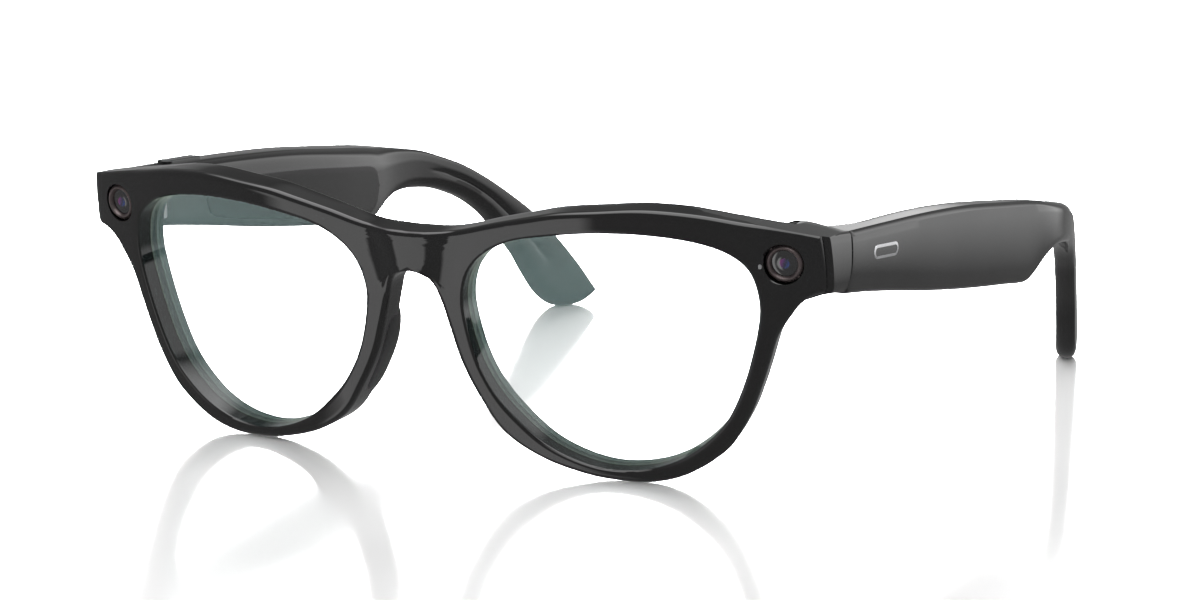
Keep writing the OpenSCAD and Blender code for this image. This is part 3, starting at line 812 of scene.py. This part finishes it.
# ------------------------------------------------------------------ lenses
def build_lens():
    loop = opening[::12] - LENS_MIDDLE
    grow = 1 + 0.35 / np.linalg.norm(loop, axis=1)
    rings = [(s, 2.75) for s in (0.02, 0.2, 0.4, 0.6, 0.78, 0.9, 0.96)] + [(1.0, 2.76), (1.0, 4.14)]
    rings += [(s, 4.15) for s in (0.96, 0.9, 0.78, 0.6, 0.4, 0.2, 0.02)]
    rows = []
    for p, g in zip(loop, grow):
        rows.append([on_front(*(LENS_MIDDLE + p * g * s), t) for s, t in rings])
    lens = wrapped("lens_left", to_metres(np.array(rows)), closed_rows=True)
    capped(lens)
    in_edit(lens, merge(1e-7), outward)
    return lens


def mark_edge(lens, side):
    """Writes how near each point is to the rim, for the tint that gathers there."""
    p = coords(lens) / MM + np.array([0, MID_DEPTH, 0])
    flat = flat_of(p * np.array([side, 1, 1]))[:, :2] - LENS_MIDDLE
    angle = np.arctan2(flat[:, 1], flat[:, 0])
    ways = np.arctan2(opening[:, 1] - LENS_MIDDLE[1], opening[:, 0] - LENS_MIDDLE[0])
    apart = np.abs(np.angle(np.exp(1j * (angle[:, None] - ways[None, :]))))
    reach = np.hypot(*(opening[np.argmin(apart, axis=1)] - LENS_MIDDLE).T)
    layer = lens.data.attributes.new("edge", "FLOAT", "POINT")
    near = smoothstep((np.hypot(flat[:, 0], flat[:, 1]) / reach - 0.965) / 0.045)
    layer.data.foreach_set("value", near.astype(np.float32))


lens_left = build_lens()
lens_right = mirrored_copy(lens_left, "lens_right")
for name, lens in (("left", lens_left), ("right", lens_right)):
    mark_edge(lens, SIDES[name])
    smooth(lens, 40, weighted=False)
    lens.name = "lens_clear_" + name
    finished(lens, "front", "lens_clear", clear, "lens_" + name)


# ------------------------------------------------------------------ nose pads
def build_pad():
    path = respaced(through([(5.6, 26.4)] + PAD + [(15.0, 7.6)]), 0.5)
    path = respaced(path[2:-2], 0.5, 36)
    ways = left_normals(path)
    if np.mean(ways[:, 0]) < 0:
        ways = -ways
    rows = []
    for k, (p, w) in enumerate(zip(path, ways)):
        f = 2 * k / (len(path) - 1) - 1
        size = max(1 - abs(f) ** 3.2, 0) ** (1 / 2.4)
        row = []
        for j in range(20):
            a = 2 * math.pi * j / 20
            c, s = math.cos(a), math.sin(a)
            deep = 4.7 + 2.9 * size * math.copysign(abs(c) ** 0.55, c)
            swell = 1.05 * (0.35 + 0.65 * size)
            along = 0.85 - swell * math.copysign(abs(s) ** 0.6, s) * (1 if size > 0 else 0)
            row.append(on_front(*(p + w * along), deep))
        rows.append(row)
    pad = wrapped("pad", to_metres(np.array(rows)), closed_columns=True)
    capped(pad)
    in_edit(pad, merge(2e-6), outward)
    return pad


pad_left = settle(build_pad(), "nose_rest_left")
pad_right = mirrored_copy(pad_left, "nose_rest_right")
for name, pad in (("left", pad_left), ("right", pad_right)):
    smooth(pad, 50, weighted=False)
    finished(pad, "front", "pad_black", black_satin, "nose_pad_" + name)


# ------------------------------------------------------------------ temples
bend_end = BEND_Y + BEND_R * math.sin(BEND_ANGLE)


def outer_x(y):
    a = np.arcsin(np.clip((y - BEND_Y) / BEND_R, 0, math.sin(BEND_ANGLE)))
    return HALF_WIDTH - BEND_R * (1 - np.cos(a)) - np.maximum(y - bend_end, 0) * math.tan(BEND_ANGLE)


# Thickness of a temple, from its front end to its tip
THICKNESS = through([(8, 7.2), (24, 7.4), (42, 8.2), (58, 8.6), (72, 8.3), (84, 7.3), (94, 6), (104, 4.9),
                     (114, 4.1), (124, 3.75), (136, TIP_THICKNESS), (150, TIP_THICKNESS)])


def inner_x(y):
    a = np.arcsin(np.clip((y - BEND_Y) / BEND_R, 0, math.sin(BEND_ANGLE)))
    return outer_x(y) - np.interp(y, THICKNESS[:, 0], THICKNESS[:, 1]) / np.cos(a)


top_curve, bottom_curve = through(TOP_EDGE), through(BOTTOM_EDGE)


def top_z(y):
    return np.interp(y, top_curve[:, 0], top_curve[:, 1])


def bottom_z(y):
    return np.interp(y, bottom_curve[:, 0], bottom_curve[:, 1])


ROUND_INSIDE = 2.7  # how much more the inner top edge is rounded behind the end piece


def temple_ring(y, tip, trim_by=0.0):
    """A temple's section at a distance back, as (x, z) points round it, with its corners rounded."""
    x0, x1 = inner_x(y) + trim_by, outer_x(y) - trim_by
    z0, z1 = bottom_z(y) + trim_by, top_z(y) - trim_by
    limit = min(max(z1 - z0, 1e-3), x1 - x0) * 0.49
    chamfer, low = min(0.9 + tip * 0.6, limit), min(0.8 + tip * 0.8, limit)
    rounding = ROUND_INSIDE * float(smoothstep((y - 15) / 12)) * (1 - tip)
    inner_low, inner_high = min(0.7 + tip * 0.8, limit), min(0.5 + rounding + tip * 1.0, limit)
    crown = CROWN * (1 - tip) * min(1, (z1 - z0) / 8)
    quarter = [(1 - math.sin(a), 1 - math.cos(a)) for a in np.linspace(0, math.pi / 2, 5)]
    p = [(x0 + inner_high * q, z1 - inner_high * r) for r, q in quarter]
    p += [(x0 + inner_high + (x1 - crown - chamfer - x0 - inner_high) * f, z1) for f in (0.33, 0.67)]
    for k, (r, q) in enumerate(quarter):
        f, bend = k / 4, 0.25 + 0.75 * tip
        across, down = (1 - f) * (1 - bend) + r * bend, f * (1 - bend) + q * bend
        p.append((x1 - crown - chamfer * across, z1 - chamfer * down))
    for f in (0.88, 0.76, 0.63, 0.5, 0.37, 0.24, 0.12):
        p.append((x1 - crown * (2 * f - 1) ** 2, z0 + low + (z1 - chamfer - z0 - low) * f))
    p += [(x1 - crown - low * q, z0 + low * r) for r, q in quarter]
    p += [(x1 - crown - low + (x0 + inner_low - x1 + crown + low) * f, z0) for f in (0.33, 0.67)]
    p += [(x0 + inner_low * r, z0 + inner_low * q) for r, q in quarter]
    p += [(x0, z0 + inner_low + (z1 - inner_high - z0 - inner_low) * f)
          for f in (0.18, 0.36, 0.43, 0.5, 0.57, 0.64, 0.82)]
    return p


TEMPLE_START, TEMPLE_END = 13.9, 145.2
TAIL_START = 132.0


def at_seam(y, z, gap=SEAM_GAP):
    """Bends the sections near the front of a temple to the line of its seam."""
    share = 1 - smoothstep((y - TEMPLE_START) / 9)
    return y + gap * share + (seam_y(np.clip(z, 32.8, 42.3)) - TEMPLE_START) * share


GROOVE_SHARE = 0.07  # half the groove's width, over the temple's height
END_SLANT = 1.3


def build_temple():
    body = np.concatenate([np.linspace(TEMPLE_START, BEND_Y - 12, 44),
                           np.linspace(BEND_Y - 11, TAIL_START, 64)])
    a = np.linspace(0, math.pi / 2, 26)[1:]
    tail = TAIL_START + (TEMPLE_END - 0.004 - TAIL_START) * np.sin(a)
    rows = []
    for trim_by, dy in ((0.1, 0.0), (0.03, 0.03), (0.0, 0.1)):
        ring = temple_ring(TEMPLE_START + dy, 0.0, trim_by)
        rows.append([(x, at_seam(TEMPLE_START, z) + dy, z) for x, z in ring])
    for y in np.concatenate([body[1:], tail]):
        tip = float(smoothstep((y - 86) / 16))
        rows.append([(x, at_seam(y, z), z) for x, z in temple_ring(y, tip)])
    p = np.array(rows)
    # A long narrow groove down the inner face of the tip
    y, z = p[..., 1], p[..., 2]
    middle = (top_z(y) + bottom_z(y)) / 2
    along = smoothstep((y - 104) / 8) * (1 - smoothstep((y - 129) / 5))
    width = (top_z(y) - bottom_z(y)) * GROOVE_SHARE
    inside = p[..., 0] < (inner_x(y) + outer_x(y)) / 2
    depth_share = np.clip((outer_x(y) - p[..., 0]) / TIP_THICKNESS, 0, 1)
    end_share = smoothstep((y - TAIL_START) / (TEMPLE_END - TAIL_START))
    p[..., 0] += inside * 0.35 * along * (1 - smoothstep(np.abs(z - middle) / width))
    # The end is cut back a little towards the inner face
    p[..., 1] -= end_share * END_SLANT * depth_share
    p[..., 2] = np.maximum(p[..., 2], 0)
    temple = wrapped("temple", to_metres(p), closed_columns=True)
    capped(temple)
    in_edit(temple, merge(1e-6), outward)
    return temple


def build_cover():
    """The panel that closes a temple from inside: it stands a hair proud, with its edge eased."""
    rows = []
    stations = np.linspace(29.2, 86.2, 60)
    for k, y in enumerate(stations):
        f = 2 * k / (len(stations) - 1) - 1
        reach = max(1 - abs(f) ** 24, 0) ** 0.5
        z0, z1 = bottom_z(y) + 1.5, top_z(y) - 3.6
        mid, half = (z0 + z1) / 2, (z1 - z0) / 2 * reach
        row = []
        for j in range(9):
            g = 2 * j / 8 - 1
            row.append((inner_x(y) - COVER_PROUD, y, mid + (half - 0.12) * g))
        row += [(inner_x(y) - COVER_PROUD * 0.4, y, mid + half), (inner_x(y) + 0.5, y, mid + half)]
        row += [(inner_x(y) + 0.5, y, mid - half), (inner_x(y) - COVER_PROUD * 0.4, y, mid - half)]
        rows.append(row)
    cover = wrapped("cover", to_metres(np.array(rows)), closed_columns=True)
    capped(cover)
    in_edit(cover, merge(1e-6), outward)
    return cover


COVER_PROUD = 0.09


def pill(name, length, width, height, edge, steps=10):
    """A long bar with half-round ends and an eased top edge, along x with its foot at z = 0, in millimetres."""
    r = width / 2
    loop = []
    for sign in (1, -1):
        for a in np.linspace(-math.pi / 2, math.pi / 2, steps + 1):
            loop.append((sign * (length / 2 - r + r * math.cos(a)), sign * r * math.sin(a)))
    loop = np.array(loop)
    middle = np.column_stack([np.clip(loop[:, 0], -(length / 2 - r), length / 2 - r), np.zeros(len(loop))])
    rings = [(1.0, 0.0), (1.0, height - edge)]
    rings += [(1 - (edge - edge * math.cos(a)) / r, height - edge + edge * math.sin(a))
              for a in (0.5, 1.05, math.pi / 2)]
    rings += [(0.55, height + 0.02), (0.02, height + 0.03)]
    rows = [[(*(m + (p - m) * s), h) for s, h in rings] for p, m in zip(loop, middle)]
    obj = wrapped(name, np.array(rows) * MM, closed_rows=True)
    capped(obj)
    in_edit(obj, merge(1e-7), outward)
    return obj


def build_badge(name):
    """A plain metal capsule with a raised rim and a sunk middle."""
    plate = pill(name, 9.0, 2.4, 0.24, 0.1)
    sink = pill("sink", 7.9, 1.35, 0.4, 0.12)
    moved(sink, Matrix.Translation((0, 0, 0.13 * MM)))
    bored(plate, sink)
    return plate


temple_left = settle(build_temple(), "temple_body_left")
cover_left = settle(build_cover(), "temple_panel_left")
badge_left = settle(build_badge("badge_left"), "badge_left")
badge_place = to_metres(np.array([HALF_WIDTH - 0.24, 26.0, 37.6]))
moved(badge_left, Matrix.Translation(Vector(badge_place)) @ Matrix(((0, 0, 1), (1, 0, 0), (0, 1, 0))).to_4x4()
      @ Matrix.Rotation(math.radians(-3), 4, "Z"))

port_left = pill("speaker_port_left", 4.8, 2.6, 0.5, 0.1)
for x in (-1.65, -0.83, 0, 0.83, 1.65):
    slot = pill("slot", 1.9, 0.36, 0.7, 0.05, 6)
    moved(slot, Matrix.Translation((x * MM, 0, 0.2 * MM)) @ Matrix.Rotation(math.pi / 2, 4, "Z"))
    bored(port_left, slot)
port_y = 88.2
slope = math.atan2(float(bottom_z(port_y + 1.5) - bottom_z(port_y - 1.5)), 3.0)
port_place = to_metres(np.array([66.9, port_y, float(bottom_z(port_y)) + 0.42]))
moved(port_left, Matrix.Translation(Vector(port_place)) @ Matrix.Rotation(slope, 4, "X")
      @ Matrix.Rotation(math.pi, 4, "X") @ Matrix.Rotation(math.pi / 2, 4, "Z"))

for name, side in SIDES.items():
    body = "temple_" + name
    parts = [(temple_left, "temple_body_", "frame_black", black_temple, "temple_shell_", 32),
             (cover_left, "temple_panel_", "frame_black", black_inner, "temple_cover_", 30),
             (badge_left, "badge_", "badge_metal", badge, "temple_badge_", 30),
             (port_left, "speaker_port_", "grille_metal", mesh_metal, "speaker_grille_", 30)]
    for left_piece, piece_name, slot_name, finish, node, angle in parts:
        piece = left_piece if side > 0 else mirrored_copy(left_piece, piece_name + "right")
        smooth(piece, angle)
        finished(piece, body, slot_name, finish, node + name)

# ------------------------------------------------------------------ controls
button = pill("shutter_button", 11.0, 3.1, 1.5, 0.28, 12)
moved(button, Matrix.Translation(Vector(to_metres(np.array([-68.6, 27.5, 41.02]))))
      @ Matrix.Rotation(math.radians(-1.7), 4, "X") @ Matrix.Rotation(math.pi / 2, 4, "Z"))
smooth(button, 35)
finished(button, "capture_button", "frame_black", black_gloss, "capture_button")

slider = pill("power_switch_slider", 3.6, 2.0, 1.3, 0.2, 8)
for x in (-0.9, -0.45, 0, 0.45, 0.9):
    nick = pill("nick", 1.7, 0.16, 0.5, 0.04, 4)
    moved(nick, Matrix.Translation((x * MM, 0, 1.2 * MM)) @ Matrix.Rotation(math.pi / 2, 4, "Z"))
    bored(slider, nick)
low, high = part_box("power_slider")
moved(slider, Matrix.Translation(((63.0 + 1.33) * MM, (low.y + high.y) / 2, (low.z + high.z) / 2))
      @ Matrix(((0, 0, -1), (1, 0, 0), (0, 1, 0))).to_4x4())
in_edit(slider, outward)
smooth(slider, 30)
finished(slider, "power_slider", "frame_black", black_satin, "power_slider")

STATUS_TURN = 0.267  # the face's own turn where the status light is
status = pill("status_lamp", 0.78, 0.56, 0.16, 0.06, 8)
status_way = (math.sin(STATUS_TURN), -math.cos(STATUS_TURN), -0.14)
moved(status, standing_on(to_metres(on_front(61.45, 37.05, 0.06)), status_way, (0, 0, 1))
      @ Matrix.Rotation(math.pi / 2, 4, "Z"))
smooth(status, 40)
finished(status, "front", "light_guide", lamp, "status_light")

# ------------------------------------------------------------------ CAD nodes that keep their shape
KEPT = {
    black_satin: ["brow_cover"],
    amber: ["front_flex", "temple_flex_left", "temple_flex_right", "touch_sensor"],
    board: ["image_sensor_left", "image_sensor_right", "main_board"],
    gold: ["charging_contacts"],
    parts_steel: ["bridge_microphone", "microphone_left", "microphone_right", "speaker_left", "speaker_right",
                  "power_switch", "processor_shield", "capture_switch"],
    steel: ["hinge_front_leaf_left", "hinge_front_leaf_right", "hinge_temple_leaf_left",
            "hinge_temple_leaf_right", "hinge_pin_left", "hinge_pin_right", "hinge_screws"],
    core_steel: ["temple_core_left", "temple_core_right"],
    foil: ["battery"],
}
for finish, names in KEPT.items():
    for n in names:
        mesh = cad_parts[n].data
        mesh.materials.clear()
        mesh.materials.append(finish)

# ------------------------------------------------------------------ stage
def patch(azimuth, elevation, az, el, half_az, half_el, soft):
    """A soft-edged rectangle of the studio, in degrees round a middle direction."""
    def inside(value, middle, half):
        off = value - middle
        off = off.maths("ABSOLUTE", off)
        return ((half + soft / 2 - off) * (1 / soft)).kept(0.0, 1.0)
    return inside(azimuth, az, half_az) * inside(elevation, el, half_el)


world = bpy.data.worlds.new("studio")
bpy.context.scene.world = world
sky = Tree(world)
way = sky.node("ShaderNodeTexCoord")
axes = [sky.node("ShaderNodeSeparateXYZ", {}, [way], out=k) for k in range(3)]
DEGREES = 180 / math.pi
azimuth = axes[0].maths("ARCTAN2", axes[0], axes[1] * -1.0) * DEGREES
behind = axes[0].maths("ARCTAN2", axes[0] * -1.0, axes[1]) * DEGREES
elevation = axes[2].maths("ARCSINE", axes[2]) * DEGREES
# Low soft light in front, light walls behind, and a bright ceiling, as the lacquer sees them
studio = 0.26 + patch(azimuth, elevation, -31, -24, 14.5, 22, 4) * 1.0
studio = studio + patch(behind, elevation, -46, 16, 38, 24, 8) * 0.95
studio = studio + patch(behind, elevation, 22, 7, 6, 5, 5) * 0.7
studio = studio - patch(behind, elevation, 34, 25, 10, 9, 6) * 0.14
studio = studio + ((elevation - 46) * 0.08).kept(0.0, 1.0) * 2.4
seen = sky.node("ShaderNodeLightPath", out="Is Camera Ray")
mirrored = sky.node("ShaderNodeLightPath", out="Is Glossy Ray")
strength = seen + (1 - seen) * (mirrored * studio + (1 - mirrored) * 0.10)
sky.put(sky.nodes["Background"].inputs["Strength"], strength)
sky.nodes["Background"].inputs["Color"].default_value = (1, 1, 1, 1)

bpy.ops.object.select_all(action="DESELECT")
bpy.ops.mesh.primitive_plane_add(size=14)
floor = settle(bpy.context.object, "studio_floor")
set_coords(floor, coords(floor) + np.array([0, 0, -0.00002]))
floor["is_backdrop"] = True
floor_finish = Finish("studio_floor", Specular_IOR_Level=0.5, IOR=1.45)
cloud = floor_finish.noise(1.5, 2.0)
floor_finish.feed(Base_Color=floor_finish.mix(cloud, (0.90, 0.90, 0.90, 1), (0.92, 0.92, 0.92, 1)),
                  Roughness=0.07 + cloud * 0.01)
floor.data.materials.append(floor_finish.material)
floor.visible_glossy = False
floor.visible_shadow = False
bpy.ops.object.select_all(action="DESELECT")


def panel(name, azimuth, elevation, distance, size, power, only=None):
    """A soft square light, azimuth 0 straight in front and + to the object's left; only: what it lights."""
    data = bpy.data.lights.new(name, "AREA")
    data.shape, data.size, data.energy = "SQUARE", size, power
    lamp_object = bpy.data.objects.new(name, data)
    bpy.context.scene.collection.objects.link(lamp_object)
    a, e = math.radians(azimuth), math.radians(elevation)
    way = Vector((math.sin(a) * math.cos(e), -math.cos(a) * math.cos(e), math.sin(e)))
    lamp_object.location = way * distance
    lamp_object.rotation_mode = "QUATERNION"
    lamp_object.rotation_quaternion = way.to_track_quat("Z", "Y")
    lamp_object.visible_camera = False
    if only:
        group = bpy.data.collections.new("lit_by_" + name)
        for o in only:
            group.objects.link(o)
        lamp_object.light_linking.receiver_collection = group
    return lamp_object


sun = bpy.data.lights.new("ceiling", "SUN")
sun.energy, sun.angle = 2.3, math.radians(120)
ceiling = bpy.data.objects.new("ceiling", sun)
bpy.context.scene.collection.objects.link(ceiling)
ceiling.rotation_euler = (math.radians(8), math.radians(-6), 0)
ceiling.visible_glossy = False
panel("floor_shine", 210, 12, 6.0, 4.5, 1250.0, [floor])

camera_data = bpy.data.cameras.new("view")
camera_data.lens, camera_data.sensor_width = 121.79, 36.0
camera = bpy.data.objects.new("view", camera_data)
bpy.context.scene.collection.objects.link(camera)
camera.location = (0.35183, -0.62375, 0.14381)
camera.rotation_euler = (math.radians(90 - 10.086), 0, math.radians(29.888))
bpy.context.scene.camera = camera
bpy.context.scene.view_settings.view_transform = "Standard"

low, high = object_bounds()
